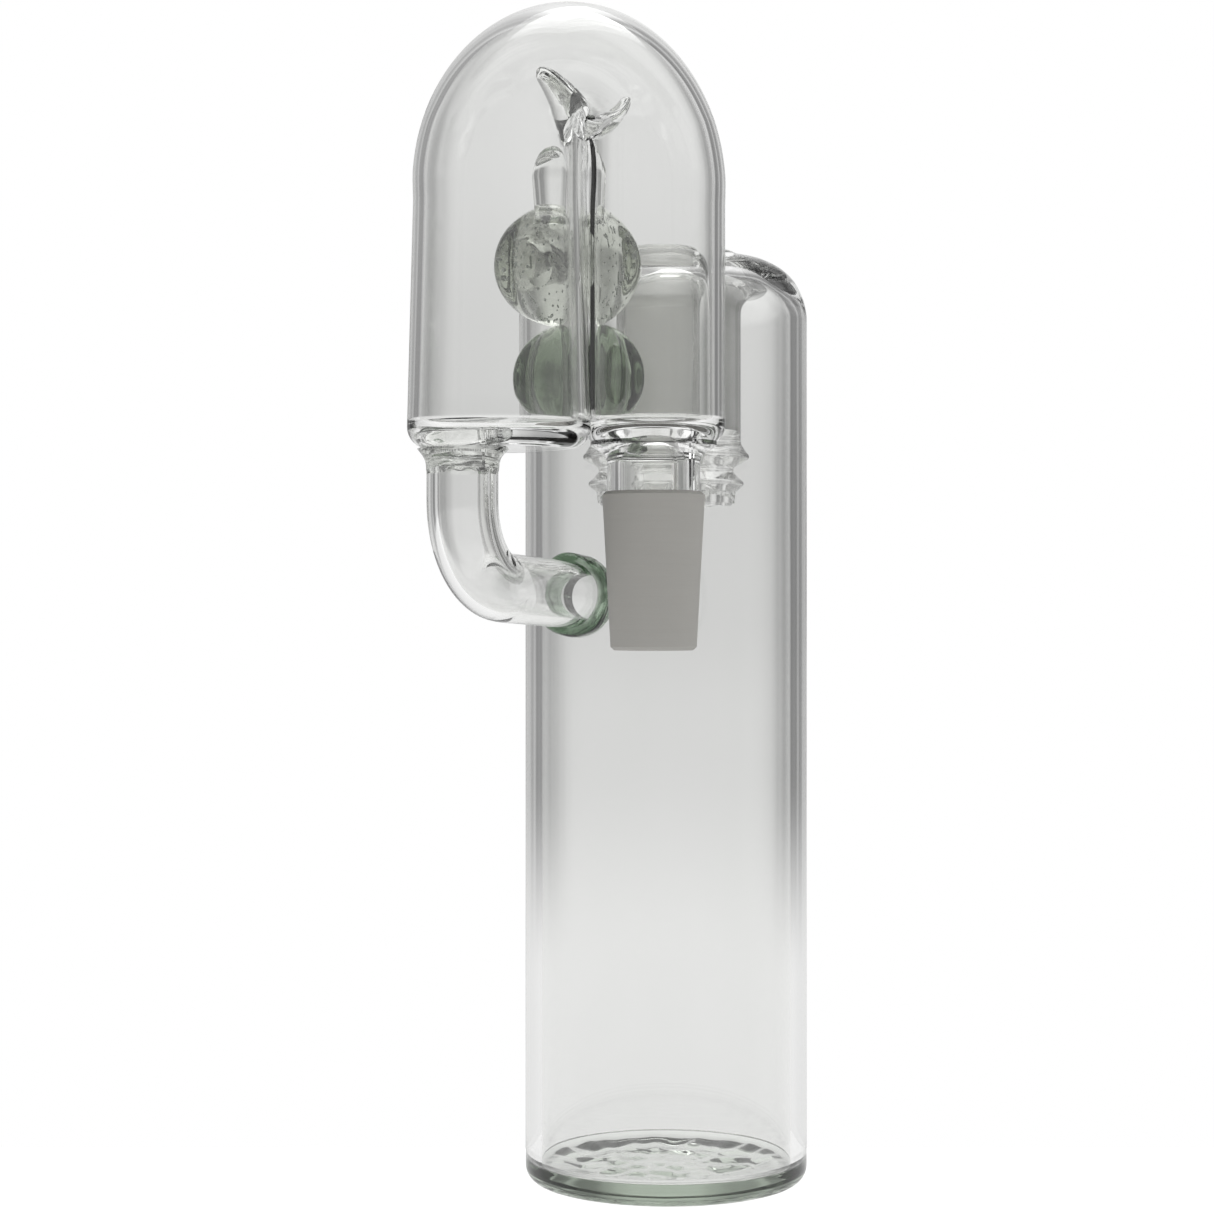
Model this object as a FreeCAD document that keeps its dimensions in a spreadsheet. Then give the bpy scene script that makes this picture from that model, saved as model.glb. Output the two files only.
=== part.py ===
"""Lampworked glass bubbler: a tall chamber and an inverted-U riser with two ground joints.

Frame: millimetres, +Z up, origin at the centre of the chamber's foot, -Y towards the riser.
The riser's own plane is turned about Z by riser_turn. In it, u runs from the left leg to the
right leg, v runs back towards the chamber, and both are zero at the seam between the legs.
"""
import FreeCAD, Part
import math
import os
import re

import Sketcher

SIZES = {
    # chamber
    "chamber_od": 44.0,
    "chamber_wall": 2.5,
    "chamber_height": 134.0,
    "foot_thickness": 3.8,
    "foot_round": 2.6,
    "dish_depth": 0.8,
    "dish_od": 28.0,
    "dish_slope": 2.5,
    "shoulder_thickness": 3.6,
    "shoulder_land": 0.4,
    "ring_seal_radius": 4.4,
    # ground socket, 18.8 mm over 26 mm, 1:10 on the diameter
    "socket_od": 23.4,
    "socket_large": 18.8,
    "socket_length": 26.0,
    "socket_lip": 1.8,
    "socket_lip_rise": 0.9,
    "lip_round": 1.5,
    "lip_round_height": 0.5,
    "lip_flare": 0.6,
    "joint_taper": 0.1,
    "tail_bore": 14.0,
    "tail_length": 10.7,
    "tail_end_od": 21.4,
    "tail_groove_od": 21.0,
    "upper_ring_od": 26.0,
    "lower_ring_od": 24.4,
    "ring_drop": 3.0,
    "ring_spacing": 4.2,
    # riser legs and crown
    "riser_turn": 14.3,
    "leg_wall": 1.6,
    "left_leg_od": 23.9,
    "left_leg_flare": 0.85,
    "right_leg_od": 20.2,
    "leg_gap": 0.24,
    "leg_floor": 2.4,
    "leg_corner": 3.0,
    "left_leg_drop": 22.5,
    "right_leg_drop": 21.8,
    "leg_rise": 12.0,
    "crotch_rise": 23.0,
    "crotch_round": 0.8,
    "crown_rise": 40.0,
    "crown_shoulder": 14.0,
    "seam_width": 2.2,
    "seam_depth": 10.0,
    "seam_start": 1.5,
    "seam_overshoot": 0.5,
    # the fold over the seam, which splits into a tall left lip and a low right one
    "fold_depth": 9.0,
    "left_lip_width": 3.4,
    "left_lip_base": -5.0,
    "left_lip_rise": 12.4,
    "left_lip_reach": -6.4,
    "right_lip_width": 3.8,
    "right_lip_base": -1.0,
    "right_lip_rise": 4.6,
    "right_lip_reach": 6.0,
    "hole_clearance": 2.4,
    # side outlet and elbow
    "elbow_od": 10.0,
    "elbow_wall": 1.5,
    "elbow_bend": 12.0,
    "elbow_offset": 5.1,
    "outlet_azimuth": -129.5,
    "outlet_drop": 42.8,
    "run_slope": 2.8,
    "run_bite": 4.0,
    "outlet_ring_width": 1.3,
    "outlet_ring_height": 2.4,
    "collar_width": 1.4,
    "collar_height": 3.4,
    # ground cone, 14.5 mm at its large end, 1:10 on the diameter
    "neck_od": 13.1,
    "neck_length": 6.4,
    "cone_large": 14.5,
    "cone_length": 22.4,
    "cone_bore": 9.5,
    "cone_chamfer": 0.6,
    # marbles that fuse the riser to the chamber
    "marble_azimuth": -119.4,
    "marble_reach": 9.0,
    "marble_shift": 0.75,
    "upper_marble_od": 21.2,
    "upper_marble_height": 17.6,
    "upper_marble_rise": 5.4,
    "lower_marble_od": 18.8,
    "lower_marble_height": 16.0,
    "lower_marble_shift": 1.9,
    "marble_waist": 0.38,
    "marble_bite": 0.2,
    "tail_post_od": 8.6,
    "tail_post_height": 11.5,
    "tail_post_sink": 2.0,
}

DERIVED = {
    "chamber_radius": "chamber_od / 2",
    "chamber_bore": "chamber_radius - chamber_wall",
    "socket_radius": "socket_od / 2",
    "knuckle": "chamber_radius - socket_radius - shoulder_land",
    "shoulder_top": "chamber_height + knuckle",
    "shoulder_under": "shoulder_top - shoulder_thickness",
    "socket_top": "shoulder_top + socket_lip_rise",
    "taper_top": "socket_top - socket_lip",
    "taper_bottom": "taper_top - socket_length",
    "taper_small": "socket_large - socket_length * joint_taper",
    "tail_top": "taper_bottom - (taper_small - tail_bore) / 2",
    "left_radius": "left_leg_od / 2",
    "right_radius": "right_leg_od / 2",
    "left_foot_radius": "left_radius + left_leg_flare",
    "left_bottom": "chamber_height - left_leg_drop",
    "right_bottom": "chamber_height - right_leg_drop",
    "leg_top": "chamber_height + leg_rise",
    "crotch_z": "chamber_height + crotch_rise",
    "crown_top": "chamber_height + crown_rise",
    "crown_level": "chamber_height + crown_shoulder",
    "gap_half": "leg_gap / 2",
    "left_u": "0 - left_radius - gap_half",
    "right_u": "right_radius + gap_half",
    "crown_half": "left_radius + right_radius + gap_half * 2",
    "crown_mid": "right_radius - left_radius",
    "marble_u": "marble_reach * (left_radius - right_radius) / (left_radius + right_radius)",
    "marble_v": "sqrt((right_radius + marble_reach) ^ 2 - (right_radius - marble_u) ^ 2)",
    "marble_x": "(chamber_radius + marble_reach) * cos(marble_azimuth)",
    "marble_y": "(chamber_radius + marble_reach) * sin(marble_azimuth)",
    "marble_along": "marble_u + marble_shift",
    "seam_x": "marble_x - marble_along * cos(riser_turn) + marble_v * sin(riser_turn)",
    "seam_y": "marble_y - marble_along * sin(riser_turn) - marble_v * cos(riser_turn)",
    "left_x": "seam_x + left_u * cos(riser_turn)",
    "left_y": "seam_y + left_u * sin(riser_turn)",
    "right_x": "seam_x + right_u * cos(riser_turn)",
    "right_y": "seam_y + right_u * sin(riser_turn)",
    "upper_marble_z": "chamber_height + upper_marble_rise",
    "marble_pitch": "(upper_marble_height + lower_marble_height) / 2 - marble_bite",
    "lower_marble_z": "upper_marble_z - marble_pitch",
    "lower_marble_x": "marble_x + lower_marble_shift * cos(riser_turn)",
    "lower_marble_y": "marble_y + lower_marble_shift * sin(riser_turn)",
    "upper_marble_x": "marble_x",
    "upper_marble_y": "marble_y",
    "elbow_radius": "elbow_od / 2",
    "elbow_bore": "elbow_radius - elbow_wall",
    "elbow_x": "left_x - elbow_offset",
    "elbow_y": "left_y",
    "elbow_top": "left_bottom + leg_floor",
    "outlet_x": "chamber_radius * cos(outlet_azimuth)",
    "outlet_y": "chamber_radius * sin(outlet_azimuth)",
    "outlet_z": "chamber_height - outlet_drop",
    "run_length": "sqrt((outlet_x - elbow_x) ^ 2 + (outlet_y - elbow_y) ^ 2)",
    "run_heading": "atan2(outlet_y - elbow_y; outlet_x - elbow_x)",
    "corner_z": "outlet_z + run_length * tan(run_slope)",
    "bend_tangent": "elbow_bend * tan((90 - run_slope) / 2)",
    "neck_radius": "neck_od / 2",
    "cone_top": "right_bottom - neck_length",
    "cone_small": "cone_large - cone_length * joint_taper",
}

# a Part::Ellipse needs its major radius the greater, so a round section is this close to round
NEAR_ROUND = 0.9999
FAN_ANGLES = (0, 30, 60, 90, 120, 150, 180)
# stations along a lip of the fold, and how fast the lip leans over and narrows
LIP_STATIONS = (0.0, 0.35, 0.7, 1.0)
LIP_CURVE = 1.7
LIP_NARROWING = 0.72

document = FreeCAD.newDocument("glass_bubbler")
sizes = document.addObject("Spreadsheet::Sheet", "sizes")
derived = document.addObject("App::VarSet", "derived")
NODES = []


def linked(formula):
    """Write a formula of plain size names as an expression on the sheet and the derived set."""

    def owner(match):
        name = match.group()
        if name in SIZES:
            return f"sizes.{name}"
        return f"derived.{name}" if name in DERIVED else name

    return re.sub(r"[a-z][a-z_0-9]*", owner, str(formula))


def value(formula):
    """Work out a formula of size names as a number."""
    return float(sizes.evalExpression(linked(formula)))


def fill_sheet():
    """Put each driving size in the sheet and each derived size in the variable set."""
    for row, (alias, number) in enumerate(SIZES.items(), start=1):
        sizes.set(f"A{row}", alias)
        sizes.set(f"B{row}", str(number))
        sizes.setAlias(f"B{row}", alias)
    document.recompute()
    for name, formula in DERIVED.items():
        derived.addProperty("App::PropertyFloat", name, "Derived")
        derived.setExpression(name, linked(formula))
    document.recompute()


def put(thing, x=0, y=0, z=0, yaw=0, pitch=0):
    """Place an object by formulas: turned by pitch about Y, then by yaw about Z, then moved."""
    spot = f"vector({linked(x)}; {linked(y)}; {linked(z)})"
    turn = f"rotationz({linked(yaw)}) * rotationy({linked(pitch)})"
    thing.setExpression("Placement", f"placement({spot}; {turn})")
    return thing


def in_riser(thing, z=0):
    """Place an object built in the riser's u, v, z frame."""
    return put(thing, "seam_x", "seam_y", z, yaw="riser_turn")


def part(kind, label, **formulas):
    """Add a Part primitive whose properties follow formulas."""
    thing = document.addObject(f"Part::{kind}", label)
    for name, formula in formulas.items():
        thing.setExpression(name, linked(formula))
    return thing


def cut(label, base, *tools):
    """Cut one or more tools from a base, one boolean at a time."""
    for count, tool in enumerate(tools, start=1):
        last = count == len(tools)
        result = document.addObject("Part::Cut", label if last else f"{label}_cut_{count}")
        result.Base = base
        result.Tool = tool
        base = result
    return base


def join(label, *solids):
    """Fuse several solids into one."""
    result = document.addObject("Part::MultiFuse", label)
    result.Shapes = list(solids)
    return result


def node(name, thing):
    """Give a finished sub-part its node name."""
    thing.Label = name
    NODES.append(thing)
    return thing


def pin(sketch, geometry, end, spot):
    """Bind one end of a sketch element to a pair of formulas."""
    for formula, constraint, axis in ((spot[0], "DistanceX", -2), (spot[1], "DistanceY", -1)):
        if str(formula) == "0":
            sketch.addConstraint(Sketcher.Constraint("PointOnObject", geometry, end, axis))
            continue
        index = sketch.addConstraint(
            Sketcher.Constraint(constraint, -1, 1, geometry, end, value(formula))
        )
        sketch.setExpression(f"Constraints[{index}]", linked(formula))


def draw(sketch, outline, closed=True):
    """Draw an outline whose corners are (x, y), or (x, y, radius, side) where an arc follows.

    A side of 1 puts the arc's centre to the left of the direction of travel, and -1 to the right.
    """
    count = len(outline) if closed else len(outline) - 1
    for index in range(count):
        corner, following = outline[index], outline[(index + 1) % len(outline)]
        start = FreeCAD.Vector(value(corner[0]), value(corner[1]), 0)
        stop = FreeCAD.Vector(value(following[0]), value(following[1]), 0)
        if len(corner) == 2:
            sketch.addGeometry(Part.LineSegment(start, stop))
            continue
        radius, side = value(corner[2]), corner[3]
        middle = (start + stop) / 2
        chord = stop - start
        left = FreeCAD.Vector(-chord.y, chord.x, 0).normalize()
        reach = math.sqrt(max(radius**2 - chord.Length**2 / 4, 0))
        centre = middle + left * reach * side
        through = centre - left * radius * side
        sketch.addGeometry(Part.Arc(start, through, stop))
    for index in range(count):
        arc = len(outline[index]) == 4
        turned_right = arc and outline[index][3] < 0
        first, last = (2, 1) if turned_right else (1, 2)
        pin(sketch, index, first, outline[index])
        following = (index + 1) % len(outline)
        if following < count:
            after = len(outline[following]) == 4 and outline[following][3] < 0
            sketch.addConstraint(
                Sketcher.Constraint("Coincident", index, last, following, 2 if after else 1)
            )
        else:
            pin(sketch, index, last, outline[following])
        if arc:
            bound = sketch.addConstraint(
                Sketcher.Constraint("Radius", index, value(outline[index][2]))
            )
            sketch.setExpression(f"Constraints[{bound}]", linked(outline[index][2]))


def new_sketch(body, name, plane):
    """Add a sketch on one of a body's own origin planes."""
    sketch = body.newObject("Sketcher::SketchObject", name)
    support = next(item for item in body.Origin.OriginFeatures if item.Role == plane)
    sketch.AttachmentSupport = [(support, "")]
    sketch.MapMode = "FlatFace"
    return sketch


def turned(label, outline):
    """Revolve an outline of radius and height about the body's own Z axis."""
    body = document.addObject("PartDesign::Body", label)
    sketch = new_sketch(body, f"{label}_outline", "XZ_Plane")
    draw(sketch, outline)
    feature = body.newObject("PartDesign::Revolution", f"{label}_turned")
    feature.Profile = sketch
    feature.ReferenceAxis = (sketch, ["V_Axis"])
    feature.Angle = 360
    sketch.Visibility = False
    return body


def make_chamber():
    """The foot, the straight tube, the domed shoulder and the fillet under it."""
    foot = turned("foot", [
        (0, 0),
        ("chamber_radius - foot_round", 0, "foot_round", 1),
        ("chamber_radius", "foot_round"),
        ("chamber_radius", "foot_thickness"),
        ("dish_od / 2 + dish_slope", "foot_thickness"),
        ("dish_od / 2", "foot_thickness - dish_depth"),
        (0, "foot_thickness - dish_depth"),
    ])
    node("foot_disc", foot)

    tube_outer = put(
        part("Cylinder", "tube_outer", Radius="chamber_radius",
             Height="chamber_height - foot_thickness"),
        z="foot_thickness",
    )
    tube_inner = put(
        part("Cylinder", "tube_inner", Radius="chamber_bore",
             Height="chamber_height - foot_thickness"),
        z="foot_thickness",
    )
    outlet_hole = put(
        part("Cylinder", "outlet_hole", Radius="elbow_bore", Height="chamber_radius"),
        "outlet_x - elbow_bore * cos(run_heading)",
        "outlet_y - elbow_bore * sin(run_heading)",
        "outlet_z + elbow_bore * tan(run_slope)",
        yaw="run_heading", pitch="90 + run_slope",
    )
    node("chamber_tube", cut("chamber_tube", tube_outer, tube_inner, outlet_hole))

    shoulder = turned("shoulder", [
        ("chamber_radius", "chamber_height", "knuckle", 1),
        ("socket_radius + shoulder_land", "shoulder_top"),
        ("socket_radius", "shoulder_top"),
        ("socket_radius", "shoulder_under"),
        ("chamber_bore - knuckle + shoulder_thickness", "shoulder_under",
         "knuckle - shoulder_thickness", -1),
        ("chamber_bore", "chamber_height"),
    ])
    node("chamber_shoulder", shoulder)

    seal_reach = "socket_radius + ring_seal_radius"
    inner_centre = "chamber_bore - knuckle + shoulder_thickness"
    seal_top = (
        "chamber_height + sqrt((knuckle - shoulder_thickness) ^ 2"
        " - (socket_radius + ring_seal_radius - chamber_bore + knuckle - shoulder_thickness) ^ 2)"
    )
    seal = turned("seal", [
        ("socket_radius", "shoulder_under"),
        ("socket_radius", f"{seal_top} - ring_seal_radius", "ring_seal_radius", -1),
        (seal_reach, seal_top, "knuckle - shoulder_thickness", 1),
        (inner_centre, "shoulder_under"),
    ])
    node("ring_seal", seal)


def make_socket():
    """The ground socket in the shoulder and its ringed tail inside the chamber."""
    socket = turned("socket", [
        ("taper_small / 2", "taper_bottom"),
        ("tail_bore / 2", "tail_top"),
        ("socket_radius", "tail_top"),
        ("socket_radius", "socket_top - lip_round_height", "lip_round", 1),
        ("socket_radius - lip_round", "socket_top"),
        ("socket_large / 2 + lip_flare", "socket_top"),
        ("socket_large / 2", "taper_top"),
    ])
    node("socket_joint", socket)

    tail = turned("tail", [
        ("tail_bore / 2", "tail_top"),
        ("tail_bore / 2", "tail_top - tail_length"),
        ("tail_end_od / 2", "tail_top - tail_length"),
        ("lower_ring_od / 2", "tail_top - ring_drop - ring_spacing"),
        ("tail_groove_od / 2", "tail_top - ring_drop - ring_spacing / 2"),
        ("upper_ring_od / 2", "tail_top - ring_drop"),
        ("socket_radius", "tail_top"),
    ])
    node("socket_tail", tail)


def leg_floor(label, radius, bottom):
    """A round-cornered glass floor that closes the lower end of a leg."""
    return put(turned(label, [
        (0, 0),
        (f"{radius} - leg_corner", 0, "leg_corner", 1),
        (radius, "leg_corner"),
        (f"{radius} - leg_wall", "leg_corner"),
        (f"{radius} - leg_wall", "leg_floor"),
        (0, "leg_floor"),
    ]), f"{bottom[0]}_x", f"{bottom[0]}_y", f"{bottom[0]}_bottom")


def crown_reach(angle):
    """Distance from the crotch to the crown's outline, in the direction of a fan angle."""
    c, s = math.cos(math.radians(angle)), math.sin(math.radians(angle))
    drop = "(crotch_z - crown_level)"
    rise = "(crown_top - crown_level)"
    square = f"({c:.6f} ^ 2 / crown_half ^ 2 + {s:.6f} ^ 2 / {rise} ^ 2)"
    linear = f"({c:.6f} * crown_mid / crown_half ^ 2 + {s:.6f} * {drop} / {rise} ^ 2)"
    constant = f"(crown_mid ^ 2 / crown_half ^ 2 + {drop} ^ 2 / {rise} ^ 2 - 1)"
    return f"((sqrt({linear} ^ 2 - {square} * {constant}) - {linear}) / {square})"


def section(name, spot, depth, across, angle):
    """An ellipse about a (u, z) spot: deep along v, and across a direction turned by angle."""
    ellipse = part("Ellipse", name, MajorRadius=depth, MinorRadius=across)
    centre = f"vector({linked(spot[0])}; 0; {linked(spot[1])})"
    ellipse.setExpression(
        "Placement", f"placement({centre}; rotationy({linked(angle)}) * rotationz(90))")
    return ellipse


def lofted(label, sections):
    """Loft a solid through sections laid out in the riser's frame."""
    loft = document.addObject("Part::Loft", label)
    loft.Sections = sections
    loft.Solid = True
    return in_riser(loft)


def crown_skin(label, inset):
    """Loft the crown through a fan of ellipses about the crotch, inset by a wall or by zero."""
    left = section(f"{label}_left_foot", ("left_u", "leg_top"), f"left_radius - {inset}",
                   f"left_radius * {NEAR_ROUND} - {inset}", 0)
    right = section(f"{label}_right_foot", ("right_u", "leg_top"), f"right_radius - {inset}",
                    f"right_radius * {NEAR_ROUND} - {inset}", 180)
    fan = []
    for angle in FAN_ANGLES:
        c, s = math.cos(math.radians(angle)), math.sin(math.radians(angle))
        depth = f"(left_radius + (right_radius - left_radius) * {angle} / 180)"
        inner = f"(gap_half + crotch_round * {s:.6f})"
        # no wider than it is deep, whatever the legs' sizes
        across = f"min(({crown_reach(angle)} - {inner}) / 2; {depth} * {NEAR_ROUND})"
        middle = f"({inner} + {across})"
        spot = (f"0 - {c:.6f} * {middle}", f"crotch_z + {s:.6f} * {middle}")
        fan.append(section(f"{label}_fan_{angle}", spot, f"{depth} - {inset}",
                           f"{across} - {inset}", angle))
    return lofted(label, [left, *fan, right])


def fold_lip(side):
    """Loft one lip of the fold, which leans over and narrows from its base to its tip."""
    reach, rise = f"{side}_lip_reach", f"{side}_lip_rise"
    stations = []
    for count, share in enumerate(LIP_STATIONS):
        curve = share**LIP_CURVE
        slope = LIP_CURVE * share ** (LIP_CURVE - 1)
        keep = 1 - LIP_NARROWING * share
        spot = (f"{reach} * {curve:.6f}", f"crotch_z + {side}_lip_base + {rise} * {share}")
        stations.append(section(f"{side}_lip_{count}", spot, f"fold_depth / 2 * {keep:.6f}",
                                f"{side}_lip_width / 2 * {keep:.6f}",
                                f"atan2({reach} * {slope:.6f}; {rise})"))
    return lofted(f"{side}_lip", stations)


def make_riser():
    """Both legs, their floors, the crown over them, the seam between them and its fold."""
    forms = {
        "left": put(part("Cone", "left_form", Radius1="left_foot_radius", Radius2="left_radius",
                         Height="leg_top - left_bottom - leg_corner"),
                    "left_x", "left_y", "left_bottom + leg_corner"),
        "right": put(part("Cylinder", "right_form", Radius="right_radius",
                          Height="leg_top - right_bottom - leg_corner"),
                     "right_x", "right_y", "right_bottom + leg_corner"),
    }
    bores = {
        "left": put(part("Cone", "left_bore", Radius1="left_foot_radius - leg_wall",
                         Radius2="left_radius - leg_wall",
                         Height="leg_top - left_bottom - leg_corner"),
                    "left_x", "left_y", "left_bottom + leg_corner"),
        "right": put(part("Cylinder", "right_bore", Radius="right_radius - leg_wall",
                          Height="leg_top - right_bottom - leg_corner"),
                     "right_x", "right_y", "right_bottom + leg_corner"),
    }
    seam = document.addObject("Part::Box", "seam_bar")
    for name, formula in (("Length", "seam_width"), ("Width", "seam_depth"),
                          ("Height", "crotch_z + seam_overshoot - left_bottom - seam_start")):
        seam.setExpression(name, linked(formula))
    put(seam, "seam_x - seam_width / 2 * cos(riser_turn) + seam_depth / 2 * sin(riser_turn)",
        "seam_y - seam_width / 2 * sin(riser_turn) - seam_depth / 2 * cos(riser_turn)",
        "left_bottom + seam_start", yaw="riser_turn")
    fold = join("fold", fold_lip("left"), fold_lip("right"))

    hole_height = "leg_floor + hole_clearance * 2"
    elbow_hole = put(part("Cylinder", "elbow_hole", Radius="elbow_radius", Height=hole_height),
                     "elbow_x", "elbow_y", "left_bottom - hole_clearance")
    neck_hole = put(part("Cylinder", "neck_hole", Radius="neck_radius", Height=hole_height),
                    "right_x", "right_y", "right_bottom - hole_clearance")
    left_floor = leg_floor("left_floor", "left_foot_radius", ("left",))
    right_floor = leg_floor("right_floor", "right_radius", ("right",))
    node("left_leg_floor", cut("left_leg_floor", left_floor, elbow_hole, seam))
    node("right_leg_floor", cut("right_leg_floor", right_floor, neck_hole, seam))
    for side in ("left", "right"):
        node(f"{side}_leg", cut(f"{side}_leg", forms[side], bores[side], seam))
    node("leg_seam", cut("leg_seam", seam, fold))
    node("crotch_fold", fold)

    crown_outer = crown_skin("crown_outer", "0")
    crown_inner = crown_skin("crown_inner", "leg_wall")
    node("crown_bend", cut("crown_bend", crown_outer, crown_inner, seam, fold))
    return forms["left"], forms["right"], seam, crown_outer


def make_outlet():
    """The side elbow from the chamber wall up into the left leg, with its two weld beads."""
    chamber_form = part("Cylinder", "chamber_form", Radius="chamber_radius",
                        Height="chamber_height")
    elbow = document.addObject("PartDesign::Body", "elbow")
    path = new_sketch(elbow, "elbow_path", "XZ_Plane")
    into_wall = "run_length + run_bite"
    draw(path, [
        (0, "elbow_top"),
        (0, "corner_z + bend_tangent", "elbow_bend", 1),
        ("bend_tangent * cos(run_slope)", "corner_z - bend_tangent * sin(run_slope)"),
        (into_wall, f"corner_z - ({into_wall}) * tan(run_slope)"),
    ], closed=False)
    ring = new_sketch(elbow, "elbow_section", "XY_Plane")
    ring.setExpression("AttachmentOffset.Base.z", linked("elbow_top"))
    for radius in ("elbow_radius", "elbow_bore"):
        circle = ring.addGeometry(
            Part.Circle(FreeCAD.Vector(0, 0, 0), FreeCAD.Vector(0, 0, 1), value(radius)))
        ring.addConstraint(Sketcher.Constraint("Coincident", circle, 3, -1, 1))
        index = ring.addConstraint(Sketcher.Constraint("Radius", circle, value(radius)))
        ring.setExpression(f"Constraints[{index}]", linked(radius))
    document.recompute()
    pipe = elbow.newObject("PartDesign::AdditivePipe", "elbow_pipe")
    pipe.Profile = ring
    pipe.Spine = (path, ["Edge1", "Edge2", "Edge3"])
    put(elbow, "elbow_x", "elbow_y", yaw="run_heading")
    node("elbow_tube", cut("elbow_tube", elbow, chamber_form))

    bead = turned("outlet_bead", [
        ("elbow_radius", "0 - elbow_od"),
        ("elbow_radius + outlet_ring_width", "0 - elbow_od"),
        ("elbow_radius + outlet_ring_width", "outlet_ring_height - outlet_ring_width",
         "outlet_ring_width", 1),
        ("elbow_radius", "outlet_ring_height"),
    ])
    put(bead, "outlet_x", "outlet_y", "outlet_z", yaw="run_heading", pitch="run_slope - 90")
    node("outlet_weld_ring", cut("outlet_weld_ring", bead, chamber_form))

    collar = turned("collar", [
        ("elbow_radius", 0),
        ("elbow_radius", "0 - collar_height"),
        ("elbow_radius + collar_width", 0),
    ])
    put(collar, "elbow_x", "elbow_y", "left_bottom")
    node("elbow_top_weld", collar)
    return chamber_form


def make_cone():
    """The neck through the right leg's floor and the ground cone below it."""
    neck = turned("neck", [
        ("cone_bore / 2", "0 - neck_length"),
        ("neck_radius", "0 - neck_length"),
        ("neck_radius", "leg_floor"),
        ("cone_bore / 2", "leg_floor"),
    ])
    node("cone_neck", put(neck, "right_x", "right_y", "right_bottom"))
    cone = turned("cone", [
        ("cone_bore / 2", "0 - cone_length"),
        ("cone_small / 2 - cone_chamfer", "0 - cone_length"),
        ("cone_small / 2 + cone_chamfer * joint_taper / 2", "cone_chamfer - cone_length"),
        ("cone_large / 2", "0 - cone_chamfer"),
        ("neck_radius", 0),
        ("cone_bore / 2", 0),
    ])
    node("cone_joint", put(cone, "right_x", "right_y", "cone_top"))


def marble(label, name):
    """A flattened glass ball: a tight arc round the waist, tangent to wide arcs over the poles."""
    across, rise, waist = f"({name}_od / 2)", f"({name}_height / 2)", f"({name}_height * marble_waist)"
    pole = f"((({across} - {waist}) ^ 2 + {rise} ^ 2 - {waist} ^ 2) / (2 * ({rise} - {waist})))"
    join_r = f"({pole} * ({across} - {waist}) / ({pole} - {waist}))"
    join_z = f"({waist} * ({pole} - {rise}) / ({pole} - {waist}))"
    body = turned(label, [
        (0, f"0 - {rise}", pole, 1),
        (join_r, f"0 - {join_z}", waist, 1),
        (join_r, join_z, pole, 1),
        (0, rise),
    ])
    return put(body, f"{name}_x", f"{name}_y", f"{name}_z")


def make_marbles(chamber_form, left_form, right_form, seam, crown_form):
    """The two marbles and the small post that fuse the riser to the chamber."""
    around = (chamber_form, left_form, right_form, seam)
    upper = marble("upper_ball", "upper_marble")
    lower = marble("lower_ball", "lower_marble")
    node("upper_marble", cut("upper_marble", upper, *around))
    node("lower_marble", cut("lower_marble", lower, *around, upper))

    valley_v = "sqrt((left_radius + tail_post_od / 2) ^ 2 - left_radius ^ 2)"
    post = turned("post", [
        (0, "0 - tail_post_sink"),
        ("tail_post_od / 2", "0 - tail_post_sink"),
        ("tail_post_od / 2", "tail_post_height - tail_post_sink - tail_post_od / 2",
         "tail_post_od / 2", 1),
        (0, "tail_post_height - tail_post_sink"),
    ])
    put(post, f"seam_x - ({valley_v}) * sin(riser_turn)", f"seam_y + ({valley_v}) * cos(riser_turn)",
        "upper_marble_z + upper_marble_height / 2 - tail_post_sink")
    node("marble_tail", cut("marble_tail", post, upper, left_form, right_form, seam, crown_form))


def export_nodes():
    """Check every object, then write each sub-part to its own file."""
    document.recompute()
    for thing in document.Objects:
        broken = {"Invalid", "Error"} & set(thing.State)
        if broken:
            raise RuntimeError(f"{thing.Label} did not build: {thing.State}")
    os.makedirs("parts", exist_ok=True)
    for thing in NODES:
        shape = thing.Shape
        if shape.isNull() or not shape.isValid() or not shape.Solids:
            raise RuntimeError(f"{thing.Label} has no valid solid")
        print(f"{thing.Label}: {len(shape.Solids)} solid, {shape.Volume:.1f} mm3")
    for thing in NODES:
        thing.Shape.exportStep(f"parts/{thing.Label}.step")


fill_sheet()
make_chamber()
make_socket()
left_form, right_form, seam_bar, crown_form = make_riser()
chamber_form = make_outlet()
make_cone()
make_marbles(chamber_form, left_form, right_form, seam_bar, crown_form)
export_nodes()
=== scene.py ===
"""Looks of a lampworked glass bubbler: chamber, ground socket, elbow, inverted-U riser and cone.

Sizes are in millimetres in the classes, and each finished mesh is scaled to metres. A piece's
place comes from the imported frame's own node boxes.
"""

import logging
import math
from dataclasses import dataclass, field
from enum import Enum
from typing import Any, Callable, Optional, Sequence, Union

import bmesh
import bpy
from mathutils import Matrix, Vector, noise


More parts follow.
